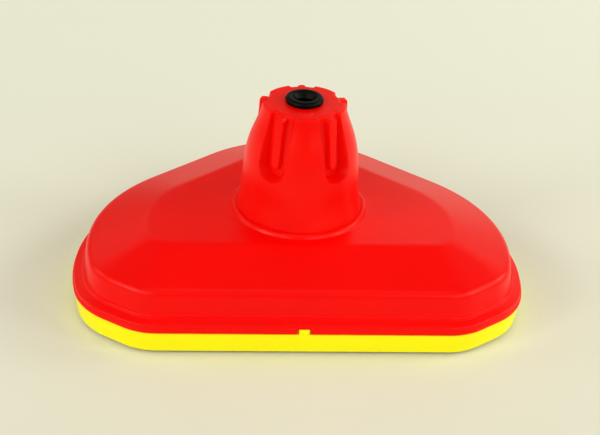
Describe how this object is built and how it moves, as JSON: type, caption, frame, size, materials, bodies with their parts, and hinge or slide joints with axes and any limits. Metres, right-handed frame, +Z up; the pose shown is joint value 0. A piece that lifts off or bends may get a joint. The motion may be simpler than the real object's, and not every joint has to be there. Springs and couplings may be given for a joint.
{
  "type": "manual vacuum head",
  "caption": "Wide three-sided vacuum head on brushes, with a sloped cover, a stepped flange over a smooth skirt, and a fluted hose cone that turns in a raised lip.",
  "frame": {"origin": "centre of the plan at floor level, where the bristle tips stand", "axes": "+X along the straight long edge, to the right seen from that edge; +Y away from the straight edge, towards the rounded apex; +Z up, along the cone"},
  "size_m": [0.3558, 0.2709, 0.1598],
  "materials": {
    "red_plastic": "satin gloss",
    "cone_red_plastic": "satin gloss",
    "yellow_plastic": "gloss",
    "bush_rubber": "satin",
    "black_rubber": "matt",
    "black_plastic": "matt",
    "white_acetal": "matt",
    "stainless_steel": "brushed",
    "cast_ballast": "rough cast",
    "nylon_bristle": "matt"
  },
  "bodies": {
    "head": {"top_shell": "red_plastic", "base_skirt": "yellow_plastic", "base_plate": "black_plastic", "throat": "black_plastic", "throat_gasket": "black_rubber", "retaining_ring": "white_acetal", "retaining_screws": "stainless_steel", "thrust_washer": "white_acetal", "plate_screws": "stainless_steel", "ballast_left": "cast_ballast", "ballast_right": "cast_ballast", "ballast_strap_left": "stainless_steel", "ballast_strap_right": "stainless_steel", "ballast_screws": "stainless_steel", "brush_rail_front": "black_plastic", "brush_rail_left": "black_plastic", "brush_rail_right": "black_plastic", "bristles_front": "nylon_bristle", "bristles_left": "nylon_bristle", "bristles_right": "nylon_bristle"},
    "cone": {"swivel_cone": "cone_red_plastic", "hose_bush": "bush_rubber", "cone_o_ring": "black_rubber"}
  },
  "joints": [
    {"name": "cone_swivel", "type": "hinge", "parent": "head", "child": "cone", "pos_m": [0, -0.01686, 0.0579], "axis": [0, 0, 1], "continuous": true}
  ]
}
